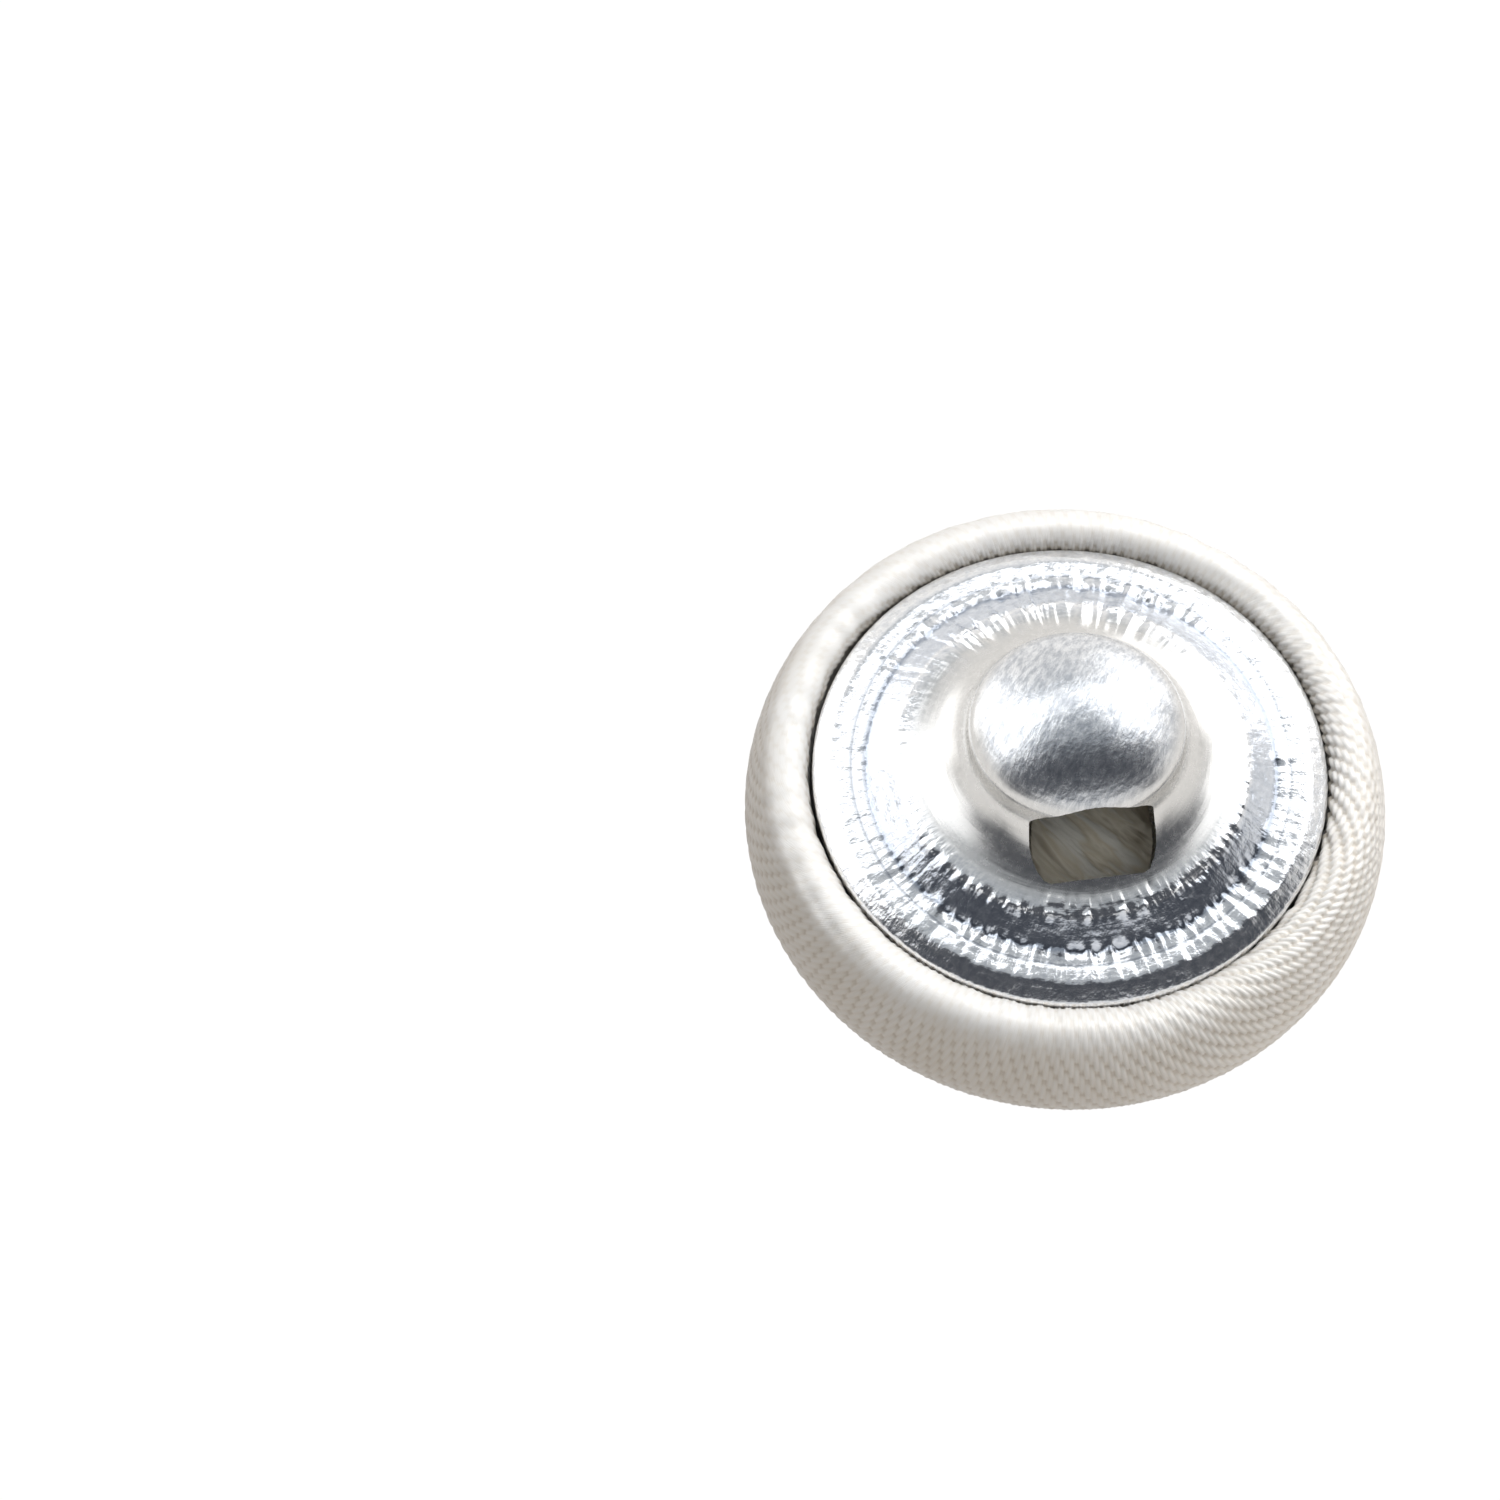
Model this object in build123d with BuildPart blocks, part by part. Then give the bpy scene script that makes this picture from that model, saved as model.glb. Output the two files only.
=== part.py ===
from build123d import *

import os
from math import asin, degrees

# A cloth covered shank button, lying on its dome with its shank up.
# Millimetres. The origin is the lowest point of the dome, on the button's axis.
# The thread runs through the shank along Y.

# The button over its cloth
button_diameter = 15.0
dome_depth = 3.75  # lowest point of the dome up to the widest circle
shoulder_radius = 2.6  # from the crown of the dome into its side
rim_rise = 2.02  # widest circle up to the crest of the rolled rim
rim_lean = 0.28  # how far the side leans in from the widest circle to the roll

# Sheets that the pieces are made of
cloth_thickness = 0.26
shell_thickness = 0.25
plate_thickness = 0.20
seat_clearance = 0.02  # between the cloth and the metal on each side of it

# Rim of the shell and the cloth that is trapped inside it
shell_curl_radius = 0.32  # outside of the curled edge
shell_lip_length = 0.45  # straight lip below the curl
skirt_overlap = 0.15  # how far the skirt of the plate reaches past that lip
tuck_radius = 0.15  # bend of the cloth under the skirt
tuck_width = 1.60  # raw edge of the cloth, in from the skirt

# Back plate, from its outer edge in to the bell
edge_drop = 0.22  # crest of the cloth down to the outer edge of the plate
lip_width = 0.43  # sloping lip along that edge
lip_rise = 0.28
edge_bend = 0.24  # outside radius of the bend from the lip into the skirt
lip_bend = 0.40
ring_width = 0.94  # nearly flat ring between the lip and the step
ring_rise = 0.05
step_run = 0.50
step_rise = 0.58
step_bend = 0.22
foot_width = 0.30  # flat shoulder between the step and the bell
foot_bend = 0.26
groove_offset = 0.87  # centre of the pressed ring line, in from the edge
groove_width = 0.08
groove_depth = 0.05
crimp_count = 60  # pleats that the drawing leaves in the ring round the step
crimp_length = 0.62
crimp_width = 0.22

# Shank, drawn up from the plate
bell_rise = 1.40  # concave flare from the shoulder up to the neck
cap_diameter = 4.86
cap_edge_radius = 0.45
cap_crown_radius = 3.30

# Thread window, through the shank from front to rear
window_width = 3.02
window_side = 0.94  # from the sill up to the springing of the arch
window_height = 1.68  # from the sill up to the crown of the arch
window_taper = 0.06  # how far each side leans in towards the arch
window_corner = 0.12  # where the sides meet the arch
window_foot_corner = 0.35  # where the sides meet the sill
window_lift = 0.05  # ends of the sill above the shoulder of the shank
window_sill_rise = 0.13  # middle of the sill above its ends

# Values that follow from the ones above
button_radius = button_diameter / 2
cap_radius = cap_diameter / 2
crest_height = dome_depth + rim_rise
roll_radius = shell_curl_radius + seat_clearance + cloth_thickness
roll_height = crest_height - roll_radius
plate_radius = button_radius - rim_lean - 2 * roll_radius - seat_clearance
shoulder_centre = button_radius - shoulder_radius
crown_radius = (shoulder_centre**2 + dome_depth**2 - shoulder_radius**2) / (
    2 * (dome_depth - shoulder_radius)
)
roll_lift = roll_height - dome_depth
side_radius = ((rim_lean + roll_radius) ** 2 + roll_lift**2 - roll_radius**2) / (
    2 * rim_lean
)
crown_turn = degrees(asin(shoulder_centre / (crown_radius - shoulder_radius)))
side_turn = degrees(asin(roll_lift / (side_radius - roll_radius)))
skirt_foot = roll_height - shell_lip_length - skirt_overlap

lip_radius = plate_radius - lip_width
step_radius = lip_radius - ring_width
foot_radius = step_radius - step_run
bell_radius = foot_radius - foot_width
edge_height = crest_height - edge_drop
lip_height = edge_height + lip_rise
step_foot = lip_height + ring_rise
shoulder_height = step_foot + step_rise
neck_height = shoulder_height + bell_rise
cap_turn = degrees(
    asin((cap_radius - cap_edge_radius) / (cap_crown_radius - cap_edge_radius))
)
window_sill = shoulder_height + window_lift
window_spring = window_sill + window_side
arch_half = window_width / 2 - window_taper
groove_radius = plate_radius - groove_offset
groove_height = lip_height + ring_rise * (lip_radius - groove_radius) / ring_width


def rim_line(inset, straight):
    # The dome, side and rolled rim as one chain of tangent arcs, at a depth
    # below the outside of the cloth, ended by a straight run down.
    crown = JernArc((0, inset), (1, 0), crown_radius - inset, crown_turn)
    shoulder = JernArc(
        crown @ 1, crown % 1, shoulder_radius - inset, 90 - crown_turn
    )
    side = JernArc(shoulder @ 1, shoulder % 1, side_radius - inset, side_turn)
    roll = JernArc(side @ 1, side % 1, roll_radius - inset, 180 - side_turn)
    return Line(roll @ 1, roll @ 1 - (0, straight))


# Satin disc, over the dome, round the rim and in under the skirt of the plate
with BuildPart() as fabric_cover:
    with BuildSketch(Plane.XZ):
        with BuildLine():
            pinch = rim_line(0, roll_height - skirt_foot)
            tuck = JernArc(pinch @ 1, (0, -1), tuck_radius, -90)
            Line(tuck @ 1, tuck @ 1 - (tuck_width, 0))
            offset(amount=cloth_thickness, side=Side.LEFT)
        make_face()
    revolve(axis=Axis.Z)
fabric_cover.part.label = "fabric_cover"

# Stamped dome under the cloth, with its edge curled in and down
with BuildPart() as face_shell:
    with BuildSketch(Plane.XZ):
        with BuildLine():
            rim_line(cloth_thickness + seat_clearance, shell_lip_length)
            offset(amount=shell_thickness, side=Side.LEFT)
        make_face()
    revolve(axis=Axis.Z)
face_shell.part.label = "face_shell"

# Drawn back with its hollow shank, one sheet from the cap to the skirt
with BuildPart() as back_plate:
    with BuildSketch(Plane.XZ):
        with BuildLine():
            bell = TangentArc(
                (cap_radius, neck_height), (bell_radius, shoulder_height), tangent=(0, -1)
            )
            cap_edge = JernArc(bell @ 0, (0, 1), cap_edge_radius, 90 - cap_turn)
            JernArc(cap_edge @ 1, cap_edge % 1, cap_crown_radius, cap_turn)
            FilletPolyline(
                bell @ 1,
                (foot_radius, shoulder_height),
                (step_radius, step_foot),
                (lip_radius, lip_height),
                (plate_radius, edge_height),
                (plate_radius, skirt_foot),
                radius=[foot_bend, step_bend, lip_bend, edge_bend],
            )
            offset(amount=plate_thickness, side=Side.RIGHT)
        make_face()
        with Locations((groove_radius, groove_height)):
            Rectangle(groove_width, 2 * groove_depth, mode=Mode.SUBTRACT)
    revolve(axis=Axis.Z)
    with BuildSketch(Plane.XZ) as window:
        with BuildLine():
            sill = ThreePointArc(
                (-window_width / 2, window_sill),
                (0, window_sill + window_sill_rise),
                (window_width / 2, window_sill),
            )
            right = Line(sill @ 1, (arch_half, window_spring))
            left = Line(sill @ 0, (-arch_half, window_spring))
            ThreePointArc(right @ 1, (0, window_sill + window_height), left @ 1)
        make_face()
        fillet(window.vertices().group_by(Axis.Y)[-1], window_corner)
        fillet(window.vertices().group_by(Axis.Y)[0], window_foot_corner)
    extrude(amount=foot_radius, both=True, mode=Mode.SUBTRACT)
    with Locations((0, 0, step_foot)):
        with PolarLocations(step_radius, crimp_count):
            Cone(
                crimp_width / 2,
                0,
                crimp_length,
                rotation=(0, 90, 0),
                align=(Align.CENTER, Align.CENTER, Align.MIN),
            )
back_plate.part.label = "back_plate"

os.makedirs("parts", exist_ok=True)
export_step(fabric_cover.part, "parts/fabric_cover.step")
export_step(face_shell.part, "parts/face_shell.step")
export_step(back_plate.part, "parts/back_plate.step")
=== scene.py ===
import math
import random

import bmesh
import bpy
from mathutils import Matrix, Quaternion, Vector, noise


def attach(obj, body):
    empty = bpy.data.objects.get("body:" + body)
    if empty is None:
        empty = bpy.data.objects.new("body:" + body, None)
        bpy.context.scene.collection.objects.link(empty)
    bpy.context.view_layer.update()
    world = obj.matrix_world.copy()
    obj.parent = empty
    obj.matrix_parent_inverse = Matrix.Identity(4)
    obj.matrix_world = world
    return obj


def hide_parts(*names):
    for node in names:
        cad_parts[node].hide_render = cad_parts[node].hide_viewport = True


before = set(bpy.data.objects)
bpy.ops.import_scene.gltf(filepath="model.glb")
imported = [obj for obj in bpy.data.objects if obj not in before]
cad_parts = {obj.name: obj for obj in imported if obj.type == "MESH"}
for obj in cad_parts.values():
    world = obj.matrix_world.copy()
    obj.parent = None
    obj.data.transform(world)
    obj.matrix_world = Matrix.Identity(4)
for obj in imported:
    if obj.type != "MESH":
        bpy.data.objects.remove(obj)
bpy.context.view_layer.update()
print("frame loaded:", ", ".join(sorted(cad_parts)))

mm = 0.001  # shapes are drawn in millimetres and scaled once, before they become meshes


# Camera, matched to the photo
cameraSettings = {
    "azimuth": -13.5,
    "elevation": 61.7,
    "roll": 5.0,
    "lens": 250.0,
    "photoSize": 1500,
    "pixelsPerMillimetre": 43.07,
    "rimCentre": (1070.3, 774.8),  # where the middle of the plate's edge stands in the frame
    "rimHeight": 5.55,
}


def makeCamera(s):
    a, e = math.radians(s["azimuth"]), math.radians(s["elevation"])
    back = Vector((math.sin(a) * math.cos(e), -math.cos(a) * math.cos(e), math.sin(e)))
    turn = (-back).to_track_quat("-Z", "Y") @ Quaternion((0, 0, 1), math.radians(s["roll"]))
    data = bpy.data.cameras.new("studioCamera")
    data.lens = s["lens"]
    camera = bpy.data.objects.new("studioCamera", data)
    bpy.context.scene.collection.objects.link(camera)
    scale = mm / s["pixelsPerMillimetre"]
    distance = s["lens"] / data.sensor_width * s["photoSize"] * scale
    half = s["photoSize"] / 2
    sideways = (s["rimCentre"][0] - half) * scale
    upwards = (half - s["rimCentre"][1]) * scale
    camera.rotation_mode = "QUATERNION"
    camera.rotation_quaternion = turn
    camera.location = (
        Vector((0, 0, s["rimHeight"] * mm)) + back * distance
        - turn @ Vector((1, 0, 0)) * sideways - turn @ Vector((0, 1, 0)) * upwards
    )
    data.clip_start, data.clip_end = distance * 0.1, distance * 10
    bpy.context.scene.camera = camera


makeCamera(cameraSettings)
print("camera placed")


# Helpers for node materials
def newMaterial(name):
    material = bpy.data.materials.new(name)
    material.use_nodes = True
    tree = material.node_tree
    return material, tree, tree.nodes["Principled BSDF"]


def addNode(tree, kind, **values):
    node = tree.nodes.new(kind)
    for key, value in values.items():
        if key.startswith("in_"):
            node.inputs[key[3:].replace("_", " ")].default_value = value
        else:
            setattr(node, key, value)
    return node


def millimetreCoordinates(tree, scale=(1, 1, 1), turn=(0, 0, 0)):
    coordinates = addNode(tree, "ShaderNodeTexCoord")
    mapping = addNode(tree, "ShaderNodeMapping", vector_type="TEXTURE")  # turned first, then stretched
    mapping.inputs["Scale"].default_value = [mm / k for k in scale]
    mapping.inputs["Rotation"].default_value = [math.radians(k) for k in turn]
    tree.links.new(coordinates.outputs["Object"], mapping.inputs["Vector"])
    return mapping.outputs["Vector"]


def addRamp(tree, value, stops):
    ramp = addNode(tree, "ShaderNodeValToRGB")
    elements = ramp.color_ramp.elements
    while len(elements) < len(stops):
        elements.new(0.5)
    for element, (place, colour) in zip(elements, stops):
        element.position = place
        element.color = (*colour, 1) if len(colour) == 3 else colour
    tree.links.new(value, ramp.inputs["Fac"])
    return ramp.outputs["Color"]


def addFade(tree, value, places, levels=(0, 1)):
    # fades from one grey level to another between two places
    return addRamp(tree, value, [(place, (level,) * 3) for place, level in zip(places, levels)])


def addBump(tree, height, depth, below=None):
    bump = addNode(tree, "ShaderNodeBump", in_Distance=depth * mm, in_Strength=1.0)
    tree.links.new(height, bump.inputs["Height"])
    if below is not None:
        tree.links.new(below, bump.inputs["Normal"])
    return bump.outputs["Normal"]


def mathNode(tree, operation, *inputs):
    node = addNode(tree, "ShaderNodeMath", operation=operation)
    for k, value in enumerate(inputs):
        if isinstance(value, (int, float)):
            node.inputs[k].default_value = value
        else:
            tree.links.new(value, node.inputs[k])
    return node.outputs["Value"]


def mixColours(tree, kind, share, first, second):
    mix = addNode(tree, "ShaderNodeMix", data_type="RGBA", blend_type=kind)
    if isinstance(share, float):
        mix.inputs["Factor"].default_value = share
    else:
        tree.links.new(share, mix.inputs["Factor"])
    tree.links.new(first, mix.inputs[6])
    tree.links.new(second, mix.inputs[7])
    return mix.outputs[2]


# Helpers for shapes
def makePiece(name, bm, material, replaced):
    bmesh.ops.scale(bm, vec=(mm, mm, mm), verts=bm.verts[:])
    mesh = bpy.data.meshes.new(name)
    bm.to_mesh(mesh)
    bm.free()
    mesh.shade_smooth()
    piece = bpy.data.objects.new(name, mesh)
    bpy.context.scene.collection.objects.link(piece)
    mesh.materials.append(material)
    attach(piece, "root")
    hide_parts(replaced)
    return piece


def smoothStep(low, high, value):
    t = min(max((value - low) / (high - low), 0), 1)
    return t * t * (3 - 2 * t)


def inAndOut(places, value):
    # rises from 0 to 1 between the first two places and falls back between the last two
    return smoothStep(places[0], places[1], value) * (1 - smoothStep(places[2], places[3], value))


def roundedRun(corners, radii, step):
    # points along a line whose inner corners are rounded, no further apart than step
    points = [Vector(corners[0])]
    for k in range(1, len(corners) - 1):
        before, corner, after = (Vector(corners[k + j]) for j in (-1, 0, 1))
        inward, outward = (before - corner).normalized(), (after - corner).normalized()
        if radii[k - 1] == 0:
            points += straightRun(points[-1], corner, step)
            continue
        half = inward.angle(outward) / 2
        reach = radii[k - 1] / math.tan(half)
        middle = corner + (inward + outward).normalized() * radii[k - 1] / math.sin(half)
        start, end = corner + inward * reach, corner + outward * reach
        points += straightRun(points[-1], start, step)
        turn = math.pi - 2 * half
        count = max(4, math.ceil(radii[k - 1] * turn / step))
        first, last = start - middle, end - middle
        side = 1 if first.x * last.y - first.y * last.x > 0 else -1
        for j in range(1, count + 1):
            c, sn = math.cos(turn * j / count), side * math.sin(turn * j / count)
            points.append(middle + Vector((first.x * c - first.y * sn, first.x * sn + first.y * c)))
    return points + straightRun(points[-1], Vector(corners[-1]), step)


def straightRun(start, end, step):
    count = max(1, math.ceil((end - start).length / step))
    return [start.lerp(end, j / count) for j in range(1, count + 1)]


# Satin cover
coverSettings = {
    "cutDiameter": 28.5,
    "arcs": [  # outside of the cloth from the middle of the dome outwards: radius, turn in degrees
        (13.61, 26.4), (2.6, 63.6), (4.34, 22.3), (0.60, 157.7),
    ],
    "pinchDrop": 0.60,
    "tuckRadius": 0.15,
    "tuckWidth": 1.60,
    "meshedTo": 12.6,  # radius on the flat cloth; beyond it only the hidden raw edge follows
    "shortestEdge": 0.004,  # round that radius; shorter ones are merged
    "yarnTurn": -13.0,  # of the yarns, from the thread's line
    "yarnPitch": 0.156,
    "yarnCount": 400,
    "yarnLift": (0.78, 1.0),  # from the lowest yarn to the highest
    "seed": 7,
    "floatRepeat": 0.82,
    "floatShift": 0.375,  # of the repeat, from one yarn to the next
    "knotLength": 0.22,  # of the repeat, where a yarn dives under
    "pointsAcrossYarn": 3,
    "pointsAlongFloat": 7,
    "weaveDepth": 0.040,
    # places below are measured along the cover's line, from the middle of the dome
    "crest": (10.4, 11.1, 11.9, 12.3),  # where the stretched cloth comes in, and goes out again
    "crestRelief": 0.12,  # of the weave there
    "slackTurn": -35,  # degrees round to where the cloth is slackest
    "slackFrom": (9.0, 10.2),
    "slackRelief": 3.6,
    "pinched": (12.9, 13.3),  # where the skirt of the plate flattens the weave
    "dark": (12.2, 12.5),  # where the cloth goes down into the gap, painted near-black there as its shadow
    "gathers": 92,
    "gathered": (9.3, 12.3, 12.9, 13.2),
    "gatherDepth": 0.055,
    "bulged": (11.7, 12.35, 12.5, 12.85),  # where the cloth swells towards the edge of the plate
    "nearBulge": 0.10,
    "farBulge": -0.12,
    "folds": [  # long soft creases beside the rim: place, middle and half width in degrees, depth
        (11.25, 18, 46, 0.08), (10.85, 34, 38, 0.06), (11.75, 40, 30, 0.05), (11.15, 205, 26, 0.04),
    ],
    "foldWidth": 0.13,
    "foldWaver": 0.12,
    "frills": 46,  # small waves that the gathers leave in the hidden raw edge
    "frillFrom": 13.6,
    "frillDepth": 0.11,
    "weaveMapWidth": 30,  # millimetres of flat cloth across the UV map
    "filamentScale": (1400, 60, 1),
    "filamentDepth": 0.006,
    "weaveShadeTints": [  # painted shade by the weave's level: near-black painted shadow at the bottom of the gap, darker beige in the valleys, up to the yarn's own ivory on top of a float
        (0.0, (0.10, 0.09, 0.075)), (0.25, (0.66, 0.605, 0.53)), (0.55, (0.86, 0.83, 0.78)),
        (0.85, (0.94, 0.93, 0.91)),
    ],
    "shadeTints": [(0.3, (0.95, 0.935, 0.91)), (0.7, (1, 1, 1))],
}


def coverLine(s):
    # legs of the cover's line as (length, radius, turn sign), with a straight leg's radius 0
    legs = [(math.radians(turn) * radius, radius, 1) for radius, turn in s["arcs"]]
    legs += [(s["pinchDrop"], 0, 0), (math.radians(90) * s["tuckRadius"], s["tuckRadius"], -1)]
    legs += [(s["tuckWidth"], 0, 0)]
    placed, place, heading, length = [], Vector((0, 0)), 0.0, 0.0
    for legLength, radius, sign in legs:
        placed.append((length, length + legLength, place.copy(), heading, radius, sign))
        place, heading = alongLeg(placed[-1], legLength)
        length += legLength
    return placed, length


def alongLeg(leg, distance):
    _, _, place, heading, radius, sign = leg
    if radius == 0:
        return place + Vector((math.cos(heading), math.sin(heading))) * distance, heading
    turned = heading + sign * distance / radius
    middle = place + Vector((-math.sin(heading), math.cos(heading))) * radius * sign
    return middle + Vector((math.sin(turned), -math.cos(turned))) * radius * sign, turned


def pointOnLine(placed, distance):
    for leg in placed:
        if distance <= leg[1] or leg is placed[-1]:
            return alongLeg(leg, distance - leg[0])


def foldDepth(s, angle, distance):
    depth = 0
    for place, middle, halfWidth, deepest in s["folds"]:
        away = (math.degrees(angle) - middle + 180) % 360 - 180
        if abs(away) < halfWidth:
            line = place + s["foldWaver"] * math.sin(math.radians(away) * 3 + place * 7)
            fading = math.cos(math.pi / 2 * away / halfWidth) ** 2
            depth += deepest * fading * math.exp(-(((distance - line) / s["foldWidth"]) ** 2))
    return depth


def weaveHeight(s, u, w, yarnLift):
    # 1 on top of a float, 0 where its yarn dives under
    yarn = math.floor(u / s["yarnPitch"] + 0.5)
    across = abs(u / s["yarnPitch"] - yarn) * 2  # 0 on the yarn's middle, 1 at its side
    phase = (w / s["floatRepeat"] - yarn * s["floatShift"]) % 1.0
    fromKnot = min(phase, 1 - phase)
    arch = smoothStep(0, s["knotLength"], fromKnot) * (0.75 + 0.25 * math.sin(math.pi * phase))
    return arch * (1 - 0.75 * across ** 2) * yarnLift[(yarn + len(yarnLift) // 2) % len(yarnLift)]


def gatherDepth(s, angle, distance):
    # small waves round the rim, unevenly spaced and in patches
    ring = Vector((math.cos(angle), math.sin(angle), 0))
    wave = math.sin(angle * s["gathers"] / 2 + 3 * noise.noise(ring * 4))
    place = Vector((math.cos(angle) * 5, math.sin(angle) * 5, distance * 0.5))
    patch = 0.5 + 0.9 * noise.noise(place)
    return s["gatherDepth"] * inAndOut(s["gathered"], distance) * max(patch, 0) * (0.5 - 0.5 * wave)


def flatCover(s):
    # round cut of cloth, as a grid along its yarns
    stepAcross = s["yarnPitch"] / s["pointsAcrossYarn"]
    stepAlong = s["floatRepeat"] / s["pointsAlongFloat"]
    countAcross = 2 * math.ceil(s["meshedTo"] / stepAcross)
    countAlong = 2 * math.ceil(s["meshedTo"] / stepAlong)
    bm = bmesh.new()
    bmesh.ops.create_grid(bm, x_segments=countAcross, y_segments=countAlong, size=1)
    halfSize = (countAcross * stepAcross / 2, countAlong * stepAlong / 2, 1)
    bmesh.ops.scale(bm, vec=halfSize, verts=bm.verts[:])
    limit = s["meshedTo"]
    outside = [v for v in bm.verts if math.hypot(v.co.x, v.co.y) > limit]
    bmesh.ops.delete(bm, geom=outside, context="VERTS")
    rim = [v for v in bm.verts if v.is_boundary]
    for v in rim:
        v.co *= limit / v.co.length
    bmesh.ops.remove_doubles(bm, verts=rim, dist=s["shortestEdge"])
    for radius in ((limit + s["cutDiameter"] / 2) / 2, s["cutDiameter"] / 2):
        edges = [e for e in bm.edges if e.is_boundary]
        made = bmesh.ops.extrude_edge_only(bm, edges=edges)["geom"]
        for v in made:
            if isinstance(v, bmesh.types.BMVert):
                v.co *= radius / v.co.length
    print("cover meshed flat:", len(bm.verts), "points")
    return bm


def makeCover(s, material):
    rng = random.Random(s["seed"])
    placed, length = coverLine(s)
    stretch = length / (s["cutDiameter"] / 2)
    bm = flatCover(s)
    uvLayer = bm.loops.layers.uv.new("weave")
    weaveShadeLevel = bm.verts.layers.float.new("weaveShadeLevel")
    flat = {}
    yarnLift = [rng.uniform(*s["yarnLift"]) for _ in range(s["yarnCount"])]
    turn = math.radians(s["yarnTurn"])
    for v in bm.verts:
        u, w = v.co.x, v.co.y
        flat[v.index] = (u, w)
        angle = math.atan2(w, u) + turn
        distance = min(math.hypot(u, w) * stretch, length)
        place, heading = pointOnLine(placed, distance)
        outward = Vector((math.sin(heading), -math.cos(heading)))
        height = weaveHeight(s, u, w, yarnLift)
        slack = max(math.cos(angle - math.radians(s["slackTurn"])), 0) ** 2
        slack *= smoothStep(*s["slackFrom"], distance)
        smooth = inAndOut(s["crest"], distance) * (1 - slack)
        # painted shade level of the weave: dark in the valleys, lifted halfway to the float colour on
        # the crest, and near zero down in the gap as its painted shadow
        shown = height + (1 - height) * 0.5 * smooth
        v[weaveShadeLevel] = (0.25 + 0.75 * shown) * (1 - smoothStep(*s["dark"], distance))
        relief = (1 - (1 - s["crestRelief"]) * smooth) * (1 + (s["slackRelief"] - 1) * slack)
        sunk = s["weaveDepth"] * relief * (1 - height)
        sunk *= 1 - 0.6 * smoothStep(*s["pinched"], distance)
        sunk += gatherDepth(s, angle, distance)
        sunk += foldDepth(s, angle, distance)
        frill = smoothStep(s["frillFrom"], length, distance) * s["frillDepth"]
        frill *= math.sin(angle * s["frills"])
        far = 0.5 + 0.5 * math.sin(angle)
        bulge = s["nearBulge"] * (1 - far) + s["farBulge"] * far
        bulge *= inAndOut(s["bulged"], distance)
        line = place - outward * (sunk + frill - bulge)
        v.co = Vector((line.x * math.cos(angle), line.x * math.sin(angle), line.y))
    for face in bm.faces:
        for loop in face.loops:
            u, w = flat[loop.vert.index]
            loop[uvLayer].uv = (0.5 + u / s["weaveMapWidth"], 0.5 + w / s["weaveMapWidth"])
    bmesh.ops.recalc_face_normals(bm, faces=bm.faces[:])
    cover = makePiece("fabricCover", bm, material, "fabric_cover")


def satinMaterial(s):
    material, tree, shader = newMaterial("ivorySatin")
    uv = addNode(tree, "ShaderNodeUVMap", uv_map="weave")
    filamentMap = addNode(tree, "ShaderNodeMapping")
    filamentMap.inputs["Scale"].default_value = s["filamentScale"]
    tree.links.new(uv.outputs["UV"], filamentMap.inputs["Vector"])
    filaments = addNode(tree, "ShaderNodeTexNoise", in_Scale=1.0, in_Detail=2.0)
    tree.links.new(filamentMap.outputs["Vector"], filaments.inputs["Vector"])
    weaveShadeLevel = addNode(tree, "ShaderNodeAttribute", attribute_name="weaveShadeLevel")
    # colour painted by the weave's level: darker in the valleys and near-black in the gap, as shade
    weaveShadeColour = addRamp(tree, weaveShadeLevel.outputs["Fac"], s["weaveShadeTints"])
    shade = addNode(tree, "ShaderNodeTexNoise", in_Scale=0.9, in_Detail=3.0)
    tree.links.new(millimetreCoordinates(tree), shade.inputs["Vector"])
    tone = addRamp(tree, shade.outputs["Fac"], s["shadeTints"])
    tree.links.new(mixColours(tree, "MULTIPLY", 1.0, weaveShadeColour, tone), shader.inputs["Base Color"])
    shader.inputs["Metallic"].default_value = 0.06
    shader.inputs["Roughness"].default_value = 0.34
    shader.inputs["Specular IOR Level"].default_value = 0.75
    shader.inputs["Sheen Weight"].default_value = 0.25
    shader.inputs["Sheen Roughness"].default_value = 0.4
    normal = addBump(tree, filaments.outputs["Fac"], s["filamentDepth"])
    tree.links.new(normal, shader.inputs["Normal"])
    return material


makeCover(coverSettings, satinMaterial(coverSettings))
print("cover done")


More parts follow.
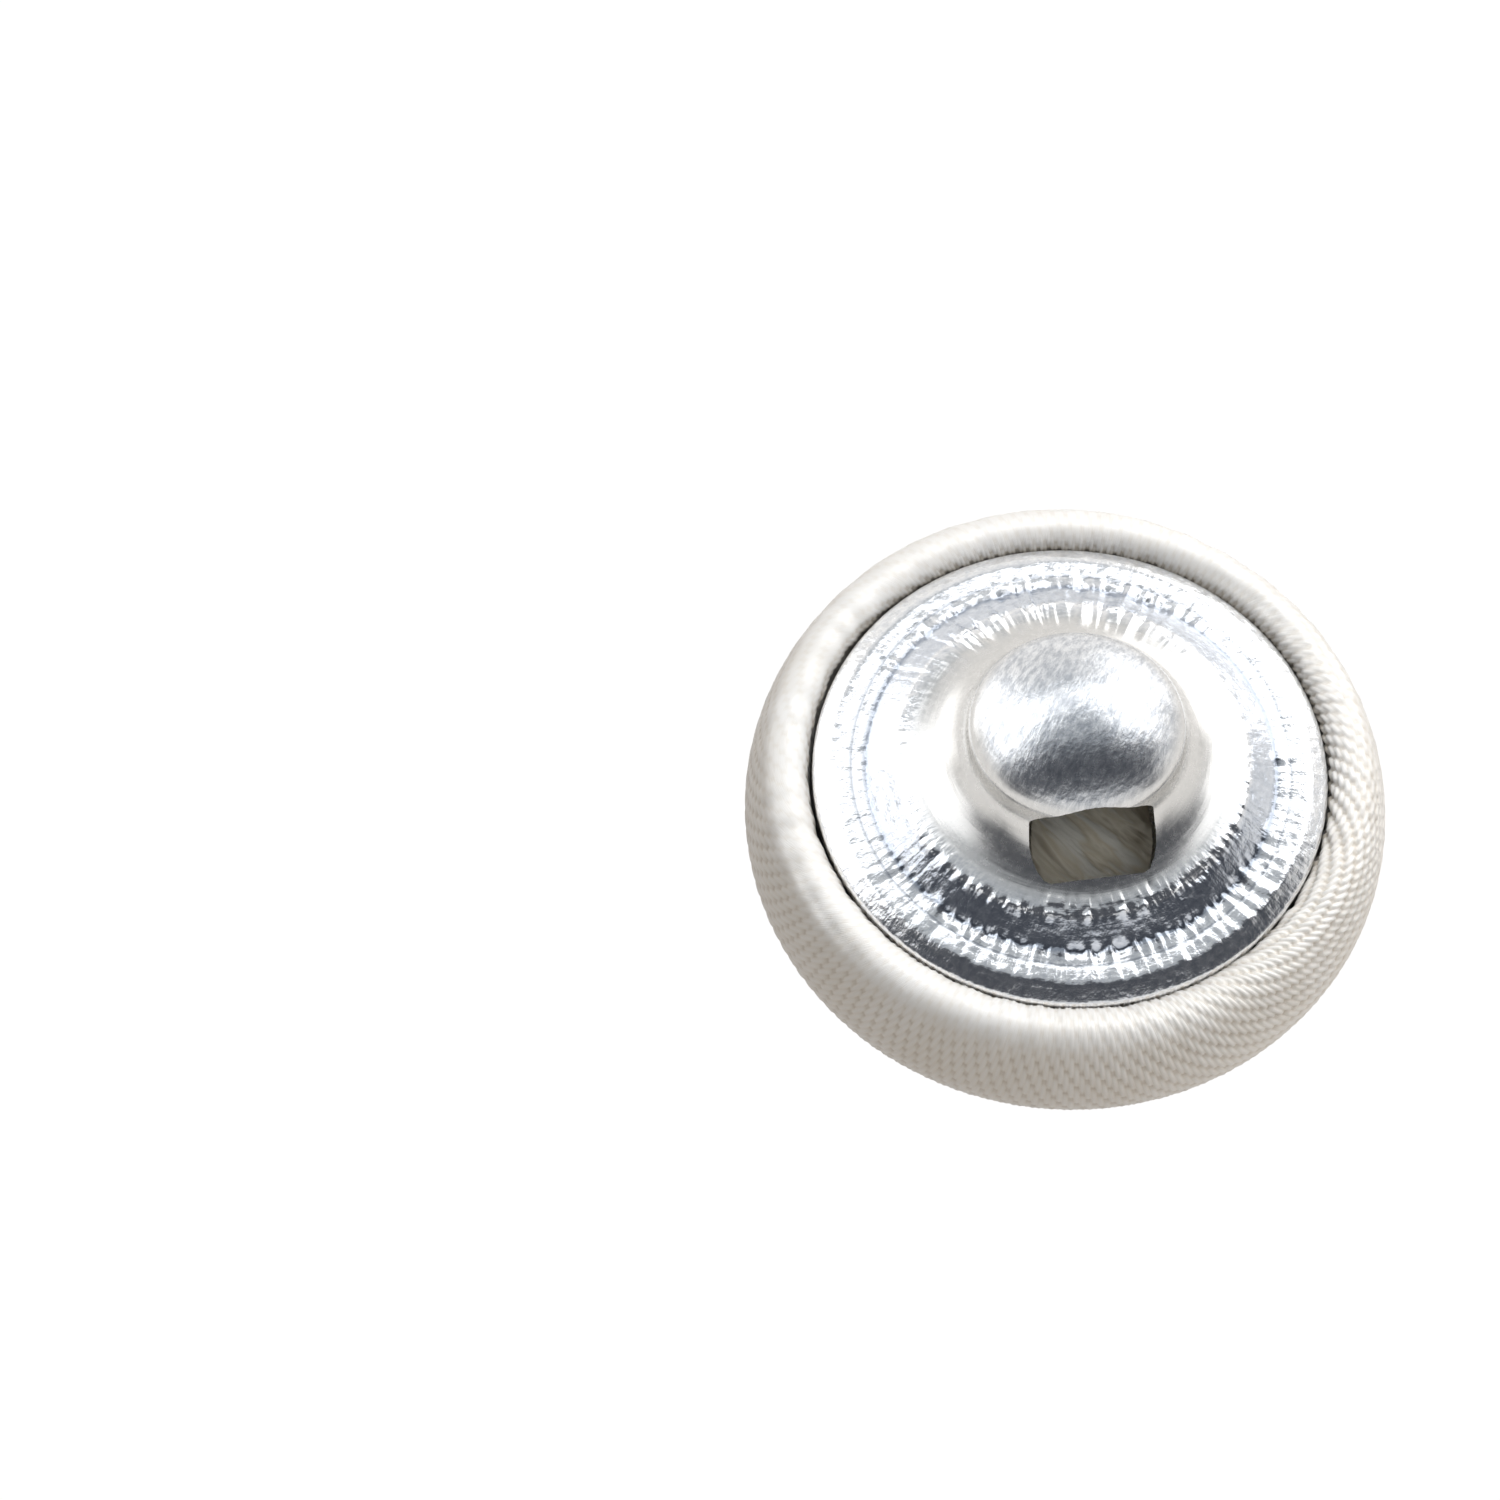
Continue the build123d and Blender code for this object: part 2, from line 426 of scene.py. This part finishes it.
# Back plate with its shank
plateSettings = {
    "segments": 552,
    "arcSteps": (14, 6, 18),  # along the crown of the cap, its edge and the bell
    "step": 0.075,  # the furthest apart that points stand on the rest of the section
    "thickness": 0.20,
    "capCrown": 3.30,
    "capEdge": 0.45,
    "capRadius": 2.43,
    "capSpread": 0.04,  # share by which the cap is wider across the window than along the thread
    "spreadFrom": (7.3, 7.9),  # heights between which it widens
    "neckHeight": 7.86,
    "bellRadius": 3.85,
    "bellFoot": 6.45,
    "bellTurn": 75.0,  # degrees from upright at the neck to the slope at the foot
    "corners": [  # shoulder, step, lip, edge, skirt
        (4.10, 6.36), (4.76, 5.885), (5.57, 5.83), (6.00, 5.55), (6.00, 5.30),
    ],
    "skirtFoot": 4.57,
    "bends": [0.26, 0.22, 0.40, 0.15],
    "grooveRadius": 5.13,
    "grooveWidth": 0.07,
    "grooveDepth": 0.022,
    "crinkleDepth": 0.055,
    "crinkledRadii": (3.3, 5.95),
    "crinkledHeights": (5.5, 7.0),
    "frontPress": 0.95,
    "sidePress": 0.42,
    "rearPress": 0.7,
    "beadRings": {"foot": (4.12, 0.10), "toe": (4.78, 0.12), "sill": (3.82, 0.08)},  # radius, width
    "strokeRadii": (4.68, 4.88, 5.1, 5.55),
    "frontReach": 0.35,  # how much further out the strokes go at the front
    "lipStart": (5.45, 5.65),
    "rearPleatRadii": (3.3, 3.6, 4.5, 4.8),
    "openings": [  # side is -1 for the front of the shank and 1 for its rear
        {
            "side": -1, "width": 3.02, "sill": 6.51, "sillRise": 0.13, "wall": 0.94, "height": 1.68,
            "taper": 0.06, "corner": 0.12, "footCorner": 0.35,
        },
        {  # sits higher, where the cap hides it from the front
            "side": 1, "width": 1.90, "sill": 7.00, "sillRise": 0.04, "wall": 0.50, "height": 0.74,
            "taper": 0.05, "corner": 0.12, "footCorner": 0.20,
        },
    ],
    "shortestEdge": 0.016,  # round an opening; shorter ones are merged
    "crispFrom": 60,  # degrees between faces from which an edge of the cut sheet stays crisp
    "ringTints": [(0.35, (0.80, 0.815, 0.845)), (0.6, (0.94, 0.945, 0.955))],
    "capTints": [(0.38, (0.56, 0.585, 0.625)), (0.62, (0.90, 0.915, 0.935))],
    "bellTints": [(0.3, (0.70, 0.695, 0.68)), (0.7, (0.78, 0.77, 0.755))],
    "creaseShadeTints": [  # painted shade by radius in centimetres: paler blue-grey across the step, darker at its toe, and a dark line along the pressed ring line
        (0.412, (1, 1, 1)), (0.420, (0.80, 0.83, 0.88)), (0.466, (0.84, 0.87, 0.92)),
        (0.478, (0.47, 0.51, 0.58)), (0.490, (1, 1, 1)),
        (0.509, (1, 1, 1)), (0.513, (0.38, 0.41, 0.46)), (0.517, (1, 1, 1)),
    ],
    "ringFrom": (0.365, 0.40),  # centimetres
    "capTo": (0.215, 0.245),
    "roughness": {"least": 0.18, "grain": 0.16, "ring": -0.07},
    "marks": {"ring": 0.026, "turning": 0.008, "cap": 0.012, "grain": 0.007},  # their depths
}


def plateLine(s):
    # outside of the plate from the middle of the cap to the foot of the skirt
    crown, edge = s["capCrown"], s["capEdge"]
    turn = math.asin((s["capRadius"] - edge) / (crown - edge))
    edgeHeight = s["neckHeight"]
    crownHeight = edgeHeight - (crown - edge) * math.cos(turn)
    crownSteps, edgeSteps, bellSteps = s["arcSteps"]
    points = []
    for k in range(crownSteps + 1):
        a = turn * k / crownSteps
        points.append(Vector((crown * math.sin(a), crownHeight + crown * math.cos(a))))
    for k in range(1, edgeSteps + 1):
        a = turn + (math.pi / 2 - turn) * k / edgeSteps
        across = s["capRadius"] - edge + edge * math.sin(a)
        points.append(Vector((across, edgeHeight + edge * math.cos(a))))
    bellTurn = math.radians(s["bellTurn"])
    flare = (s["bellRadius"] - s["capRadius"]) / (1 - math.cos(bellTurn))
    drop = (edgeHeight - s["bellFoot"]) / math.sin(bellTurn)
    for k in range(1, bellSteps + 1):
        a = bellTurn * k / bellSteps
        across = s["capRadius"] + flare * (1 - math.cos(a))
        points.append(Vector((across, edgeHeight - drop * math.sin(a))))
    run = roundedRun([points[-1][:], *s["corners"]], s["bends"], s["step"])
    return points + run[1:] + [Vector((s["corners"][-1][0], s["skirtFoot"]))]


def crinkleDepth(s, radius, angle):
    # radial pleats: beads on the bends of the step, strokes out over the ring, tall ones at the rear
    ring = Vector((math.cos(angle), math.sin(angle), 0))
    fine = noise.noise(ring * 27 + Vector((0, 0, radius * 0.9)))
    broad = noise.noise(ring * 13 + Vector((5, 3, radius * 0.7)))
    tiny = noise.noise(ring * 62 + Vector((1, 7, radius * 2.5)))
    patch = max(0.25 + 2.2 * noise.noise(ring * 3.1 + Vector((9, 2, radius * 0.4))), 0)
    front = smoothStep(0.1, 0.85, -ring.y)  # the die pressed harder on the front
    rear = smoothStep(0.4, 0.95, ring.y)
    hard = max(front, 0.8 * rear)
    uneven = hard + (1 - hard) * min(patch, 1.2)
    press = s["sidePress"] + (s["frontPress"] - s["sidePress"]) * front + s["rearPress"] * rear
    bead = {
        name: math.exp(-(((radius - place) / width) ** 2))
        for name, (place, width) in s["beadRings"].items()
    }
    foot = bead["foot"] * (0.55 + 0.75 * hard)
    toe = bead["toe"] * (0.55 + 0.75 * hard)
    belowSill = bead["sill"] * smoothStep(0.86, 0.97, -ring.y)
    beads = foot * (1.7 * fine + 0.7 * tiny) + toe * (1.6 * fine + 0.6 * broad + 0.6 * tiny)
    beads += belowSill * (1.3 * fine + 0.9 * tiny)
    first, full, fading, last = s["strokeRadii"]
    reach = s["frontReach"] * front
    strokes = inAndOut((first, full, fading + reach, last + reach), radius)
    strokes *= 1 - 0.5 * smoothStep(*s["lipStart"], radius)
    longer = strokes * press * (0.7 * fine + 0.6 * broad + 0.3 * tiny)
    tall = inAndOut(s["rearPleatRadii"], radius) * rear
    crease = 1 - min(abs(noise.noise(ring * 21 + Vector((3, 4, radius * 0.35)))) / 0.12, 1)
    longer += tall * (1.1 * broad + 0.8 * fine - 0.5 * crease)
    return s["crinkleDepth"] * uneven * (beads * (0.5 + 0.5 * press) + longer)


def openingOutline(s):
    # closed line round an opening, seen from the front
    half, sill = s["width"] / 2, s["sill"]
    top, spring = half - s["taper"], sill + s["wall"]
    rise = s["height"] - s["wall"]
    radius = (top * top + rise * rise) / (2 * rise)
    middle = spring + rise - radius
    sweep = math.asin(top / radius)
    turns = [sweep * (1 - k / 7) for k in range(15)]
    arch = [(radius * math.sin(a), middle + radius * math.cos(a)) for a in turns]
    bow = [(x * half, sill + s["sillRise"] * (1 - x * x)) for x in (k / 3 for k in range(-3, 4))]
    corners = [bow[3], *bow[4:], *arch, *bow[:4]]
    bends = [0, 0, s["footCorner"], s["corner"], *[0] * 13, s["corner"], s["footCorner"], 0, 0]
    return roundedRun(corners, bends, 0.3)[:-1]


def insideLine(line, x, z):
    crossings = 0
    for first, second in zip(line, [*line[1:], line[0]]):
        if (first.y > z) != (second.y > z):
            if x < first.x + (z - first.y) / (second.y - first.y) * (second.x - first.x):
                crossings += 1
    return crossings % 2 == 1


def cutOpening(bm, s, shortestEdge):
    outline = openingOutline(s)
    margin = 0.1
    reachPast = 0.12  # how far beyond each line of the outline faces are cut
    low, high = s["sill"] - margin, s["sill"] + s["height"] + margin
    widest = s["width"] / 2 + 2 * margin
    for first, second in zip(outline, [*outline[1:], outline[0]]):
        along = (second - first).normalized()
        near = []
        for face in bm.faces:
            c = face.calc_center_median()
            if c.y * s["side"] > 0 and low < c.z < high and abs(c.x) < widest:
                away = Vector((c.x, c.z)) - first
                reach, aside = away.dot(along), abs(away.x * along.y - away.y * along.x)
                if -reachPast < reach < (second - first).length + reachPast and aside < reachPast:
                    near.append(face)
        edges = {e for f in near for e in f.edges}
        verts = {v for f in near for v in f.verts}
        bmesh.ops.bisect_plane(
            bm, geom=[*near, *edges, *verts], dist=1e-5,
            plane_co=(first.x, 0, first.y), plane_no=(-along.y, 0, along.x),
        )
    gone = []
    for face in bm.faces:
        c = face.calc_center_median()
        if c.y * s["side"] > 0 and low < c.z < high and insideLine(outline, c.x, c.z):
            gone.append(face)
    bmesh.ops.delete(bm, geom=gone, context="FACES")
    rim = [v for v in bm.verts if v.is_boundary and v.co.y * s["side"] > 0 and low < v.co.z < high]
    bmesh.ops.remove_doubles(bm, verts=rim, dist=shortestEdge)
    close = {e for v in rim if v.is_valid for f in v.link_faces for e in f.edges}
    bmesh.ops.dissolve_degenerate(bm, edges=list(close), dist=shortestEdge / 2)


def makePlate(s, material):
    line = plateLine(s)
    bm = bmesh.new()
    verts = []
    for p in line:
        fromGroove = (p.x - s["grooveRadius"]) / (s["grooveWidth"] / 2)
        dent = s["grooveDepth"] * math.exp(-(fromGroove ** 2))
        verts.append(bm.verts.new((p.x, 0, p.y - dent)))
    for first, second in zip(verts, verts[1:]):
        bm.edges.new((first, second))
    bmesh.ops.spin(
        bm, geom=bm.verts[:] + bm.edges[:], cent=(0, 0, 0), axis=(0, 0, 1),
        angle=2 * math.pi, steps=s["segments"], use_merge=True,
    )
    bmesh.ops.remove_doubles(bm, verts=bm.verts[:], dist=1e-5)
    bmesh.ops.recalc_face_normals(bm, faces=bm.faces[:])
    inner, outer = s["crinkledRadii"]
    low, high = s["crinkledHeights"]
    for v in bm.verts:
        radius = math.hypot(v.co.x, v.co.y)
        if inner < radius < outer and low < v.co.z < high:
            v.co.z += crinkleDepth(s, radius, math.atan2(v.co.y, v.co.x))
        v.co.x *= 1 + s["capSpread"] * smoothStep(*s["spreadFrom"], v.co.z)
    for opening in s["openings"]:
        cutOpening(bm, opening, s["shortestEdge"])
    print("plate drawn:", len(bm.faces), "faces")
    bmesh.ops.solidify(bm, geom=bm.faces[:], thickness=s["thickness"])
    crispAngle = math.radians(s["crispFrom"])
    for e in bm.edges:
        middle = (e.verts[0].co + e.verts[1].co) / 2
        if middle.z > s["bellFoot"] - s["thickness"] and e.calc_face_angle(0) > crispAngle:
            e.smooth = False
    makePiece("backPlate", bm, material, "back_plate")


def plateMaterial(s):
    material, tree, shader = newMaterial("brightAluminium")
    shader.inputs["Metallic"].default_value = 1.0
    place = millimetreCoordinates(tree)
    parts = addNode(tree, "ShaderNodeSeparateXYZ")
    tree.links.new(place, parts.inputs["Vector"])
    squares = [mathNode(tree, "MULTIPLY", parts.outputs[k], parts.outputs[k]) for k in "XY"]
    radius = mathNode(tree, "SQRT", mathNode(tree, "ADD", *squares))
    centimetres = mathNode(tree, "MULTIPLY", radius, 0.1)
    onRing = addFade(tree, centimetres, s["ringFrom"])
    onCap = addFade(tree, centimetres, s["capTo"], (1, 0))

    grain = addNode(tree, "ShaderNodeTexNoise", in_Scale=5.5, in_Detail=5.0, in_Roughness=0.6)
    tree.links.new(place, grain.inputs["Vector"])
    rubbed = addNode(tree, "ShaderNodeTexNoise", in_Scale=1.0, in_Detail=4.0, in_Roughness=0.65)
    tree.links.new(millimetreCoordinates(tree, (9, 3.2, 3.2), (0, 0, -34)), rubbed.inputs["Vector"])
    ringTint = addRamp(tree, grain.outputs["Fac"], s["ringTints"])
    capTint = addRamp(tree, rubbed.outputs["Fac"], s["capTints"])
    bellTint = addRamp(tree, grain.outputs["Fac"], s["bellTints"])
    # painted shade darkening the step, its toe and the pressed ring line
    creases = addRamp(tree, centimetres, s["creaseShadeTints"])
    tint = mixColours(tree, "MIX", onRing, bellTint, ringTint)
    tint = mixColours(tree, "MIX", onCap, tint, capTint)
    tree.links.new(mixColours(tree, "MULTIPLY", 1.0, tint, creases), shader.inputs["Base Color"])
    flawed = mathNode(tree, "MAXIMUM", onRing, onCap)
    rough = s["roughness"]
    grainRough = mathNode(tree, "MULTIPLY_ADD", grain.outputs["Fac"], rough["grain"], rough["least"])
    allRough = mathNode(tree, "MULTIPLY_ADD", onRing, rough["ring"], grainRough)
    tree.links.new(allRough, shader.inputs["Roughness"])

    outward = addNode(tree, "ShaderNodeVectorMath", operation="NORMALIZE")
    flatPlace = addNode(tree, "ShaderNodeCombineXYZ")
    tree.links.new(parts.outputs["X"], flatPlace.inputs["X"])
    tree.links.new(parts.outputs["Y"], flatPlace.inputs["Y"])
    tree.links.new(flatPlace.outputs["Vector"], outward.inputs[0])
    streaks = roundNoise(tree, outward.outputs["Vector"], radius, 24.0, 1.6)
    turned = roundNoise(tree, outward.outputs["Vector"], radius, 1.5, 6.5)
    dimples = addNode(tree, "ShaderNodeTexNoise", in_Scale=3.0, in_Detail=3.0, in_Roughness=0.5)
    tree.links.new(place, dimples.inputs["Vector"])
    ringMarks = mathNode(tree, "MULTIPLY_ADD", streaks, 0.7, dimples.outputs["Fac"])
    ringMarks = mathNode(tree, "MULTIPLY", ringMarks, onRing)
    capMarks = mathNode(tree, "MULTIPLY", rubbed.outputs["Fac"], onCap)
    grainMarks = mathNode(tree, "MULTIPLY", grain.outputs["Fac"], flawed)
    marks = s["marks"]
    normal = addBump(tree, ringMarks, marks["ring"])
    normal = addBump(tree, turned, marks["turning"], below=normal)
    normal = addBump(tree, capMarks, marks["cap"], below=normal)
    normal = addBump(tree, grainMarks, marks["grain"], below=normal)
    tree.links.new(normal, shader.inputs["Normal"])
    return material


def roundNoise(tree, outward, radius, roundScale, radialScale):
    # noise that is drawn out along the radius, or round the axis, by its two scales
    aside = addNode(tree, "ShaderNodeVectorMath", operation="SCALE")
    aside.inputs["Scale"].default_value = roundScale
    tree.links.new(outward, aside.inputs[0])
    along = addNode(tree, "ShaderNodeCombineXYZ")
    tree.links.new(mathNode(tree, "MULTIPLY", radius, radialScale), along.inputs["Z"])
    both = addNode(tree, "ShaderNodeVectorMath", operation="ADD")
    tree.links.new(aside.outputs["Vector"], both.inputs[0])
    tree.links.new(along.outputs["Vector"], both.inputs[1])
    pattern = addNode(tree, "ShaderNodeTexNoise", in_Scale=1.0, in_Detail=3.0)
    tree.links.new(both.outputs["Vector"], pattern.inputs["Vector"])
    return pattern.outputs["Fac"]


makePlate(plateSettings, plateMaterial(plateSettings))
print("back plate done")


# Shell inside
shellSettings = {
    # painted shade and highlight: the inside is coloured dark olive to pale cream along the same fold
    # noise that bumps it
    "foldShadeTints": [
        (0.36, (0.50, 0.44, 0.33)), (0.46, (0.99, 0.93, 0.78)), (0.55, (0.86, 0.79, 0.63)),
        (0.64, (0.99, 0.97, 0.88)),
    ],
    "roughness": (0.50, 0.36),
    "roughFrom": (0.25, 0.75),  # of the grain
    "marks": {"folds": 0.3, "grain": 0.01},
}


def shellMaterial(s):
    material, tree, shader = newMaterial("dullAluminium")
    shader.inputs["Metallic"].default_value = 0.04
    grain = addNode(tree, "ShaderNodeTexNoise", in_Scale=5.0, in_Detail=5.0)
    tree.links.new(millimetreCoordinates(tree), grain.inputs["Vector"])
    folds = addNode(tree, "ShaderNodeTexNoise", in_Scale=1.0, in_Detail=2.5, in_Distortion=0.4)
    tree.links.new(millimetreCoordinates(tree, (2.1, 0.5, 1), (0, 0, 38)), folds.inputs["Vector"])
    # painted shade and highlight following the folds' relief
    tint = addRamp(tree, folds.outputs["Fac"], s["foldShadeTints"])
    tree.links.new(tint, shader.inputs["Base Color"])
    rough = addFade(tree, grain.outputs["Fac"], s["roughFrom"], s["roughness"])
    tree.links.new(rough, shader.inputs["Roughness"])
    normal = addBump(tree, folds.outputs["Fac"], s["marks"]["folds"])
    normal = addBump(tree, grain.outputs["Fac"], s["marks"]["grain"], below=normal)
    tree.links.new(normal, shader.inputs["Normal"])
    return material


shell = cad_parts["face_shell"]
dull = shellMaterial(shellSettings)
for materialSlot in shell.material_slots:
    materialSlot.material = dull
if not shell.material_slots:
    shell.data.materials.append(dull)
print("shell dressed")


# Studio
studioSettings = {
    "backdropLevel": 1.1,  # seen by the camera
    "skyLevel": 0.10,  # in all light that isn't mirrored
    "skyInMetal": [  # the mirrored sky, by height: pale warm low down and bluish grey overhead
        (0.0, (0.94, 0.92, 0.89)), (0.50, (0.84, 0.84, 0.84)), (0.72, (0.43, 0.455, 0.48)),
    ],
    "darkBand": 62.0,  # height in degrees, on the camera's side, of a dark arch that the metal mirrors
    "bandEdge": (0.31, 0.41),
    "bandEnds": (0.82, 0.96),
    "darkInMetal": (0.075, 0.08, 0.092, 1),
    "floorSize": 600,
    "floorColour": (0.50, 0.41, 0.31, 1),
    "floorGlow": 1.07,
    "floorWhite": 0.94,
    "floorInMetal": 0.8,
    "boxes": {  # softboxes: place, aim and size in millimetres, brightness, and what they are for
        "leftBox": ((-82, 38, 88), (0, 0, 6), (110, 76), 1.12, "metal"),
        "rightBox": ((78, 44, 90), (0, 0, 6), (106, 82), 1.25, "metal"),
        "ringBox": ((-12, 57, 106), (0, 0, 6), (130, 42), 1.02, "metal"),
        "leftLowBox": ((-80, 84, 30), (0, 0, 8), (74, 50), 0.80, "metal"),
        "rightLowBox": ((80, 88, 32), (0, 0, 8), (84, 54), 0.95, "metal"),
        "leftFill": ((-110, 25, 60), (0, 0, 6), (90, 90), 0.1, "cloth"),
        "rightFill": ((105, -15, 60), (0, 0, 6), (90, 90), 1.9, "cloth"),
        "farFill": ((-30, 105, 70), (0, 0, 6), (90, 90), 0.4, "cloth"),
        "topFill": ((34, 60, 98), (0, 0, 6), (80, 80), 5.3, "cloth"),
        "windowFill": ((-13, -55, 112), (0, 0, 6), (30, 30), 11.5, "cloth"),
    },
}


def makeSky(s):
    world = bpy.data.worlds.new("studioWorld")
    world.use_nodes = True
    tree = world.node_tree
    plain = tree.nodes["Background"]
    plain.inputs["Color"].default_value = (1, 1, 1, 1)
    path = addNode(tree, "ShaderNodeLightPath")
    added = s["backdropLevel"] - s["skyLevel"]
    level = mathNode(tree, "MULTIPLY_ADD", path.outputs["Is Camera Ray"], added, s["skyLevel"])
    tree.links.new(level, plain.inputs["Strength"])

    way = addNode(tree, "ShaderNodeSeparateXYZ")
    tree.links.new(addNode(tree, "ShaderNodeTexCoord").outputs["Generated"], way.inputs["Vector"])
    tilt = math.radians(s["darkBand"])
    fromBand = mathNode(tree, "MULTIPLY", way.outputs["Y"], math.sin(tilt))
    fromBand = mathNode(tree, "MULTIPLY_ADD", way.outputs["Z"], math.cos(tilt), fromBand)
    outOfBand = addFade(tree, mathNode(tree, "ABSOLUTE", fromBand), s["bandEdge"])
    outAside = addFade(tree, mathNode(tree, "ABSOLUTE", way.outputs["X"]), s["bandEnds"])
    pale = addRamp(tree, way.outputs["Z"], s["skyInMetal"])
    dark = addNode(tree, "ShaderNodeRGB")
    dark.outputs["Color"].default_value = s["darkInMetal"]
    outside = mathNode(tree, "MAXIMUM", outOfBand, outAside)
    seen = mixColours(tree, "MIX", outside, dark.outputs["Color"], pale)
    inMetal = addNode(tree, "ShaderNodeBackground")
    tree.links.new(seen, inMetal.inputs["Color"])
    mix = addNode(tree, "ShaderNodeMixShader")
    tree.links.new(path.outputs["Is Glossy Ray"], mix.inputs["Fac"])
    tree.links.new(plain.outputs["Background"], mix.inputs[1])
    tree.links.new(inMetal.outputs["Background"], mix.inputs[2])
    tree.links.new(mix.outputs["Shader"], tree.nodes["World Output"].inputs["Surface"])
    bpy.context.scene.world = world


def makeFloor(s):
    bm = bmesh.new()
    bmesh.ops.create_grid(bm, x_segments=1, y_segments=1, size=s["floorSize"] * mm)
    mesh = bpy.data.meshes.new("studioFloor")
    bm.to_mesh(mesh)
    bm.free()
    floor = bpy.data.objects.new("studioFloor", mesh)
    bpy.context.scene.collection.objects.link(floor)
    material, tree, shader = newMaterial("paleFloor")
    shader.inputs["Base Color"].default_value = s["floorColour"]
    shader.inputs["Roughness"].default_value = 0.9
    shader.inputs["Specular IOR Level"].default_value = 0.1
    glow = addNode(tree, "ShaderNodeEmission", in_Strength=s["floorGlow"])
    mix = addNode(tree, "ShaderNodeMixShader")
    path = addNode(tree, "ShaderNodeLightPath")
    inMetal = mathNode(tree, "MULTIPLY", path.outputs["Is Glossy Ray"], s["floorInMetal"])
    glowing = mathNode(tree, "MULTIPLY_ADD", path.outputs["Is Camera Ray"], s["floorWhite"], inMetal)
    tree.links.new(glowing, mix.inputs["Fac"])
    tree.links.new(shader.outputs["BSDF"], mix.inputs[1])
    tree.links.new(glow.outputs["Emission"], mix.inputs[2])
    tree.links.new(mix.outputs["Shader"], tree.nodes["Material Output"].inputs["Surface"])
    mesh.materials.append(material)


def aimed(place, aim):
    return (Vector(aim) - Vector(place)).to_track_quat("-Z", "Y")


def makeSoftbox(name, place, aim, size, brightness, lights):
    data = bpy.data.lights.new(name, "AREA")
    data.shape = "RECTANGLE"
    data.size, data.size_y = size[0] * mm, size[1] * mm
    data.energy = brightness * math.pi * data.size * data.size_y
    light = bpy.data.objects.new(name, data)
    bpy.context.scene.collection.objects.link(light)
    light.location = Vector(place) * mm
    light.rotation_mode = "QUATERNION"
    light.rotation_quaternion = aimed(place, aim)
    light.visible_camera = False
    light.visible_glossy = lights != "cloth"
    light.visible_diffuse = lights != "metal"


makeSky(studioSettings)
makeFloor(studioSettings)
for boxName, box in studioSettings["boxes"].items():
    makeSoftbox(boxName, *box)
bpy.context.scene.view_settings.view_transform = "Standard"
print("studio lit")
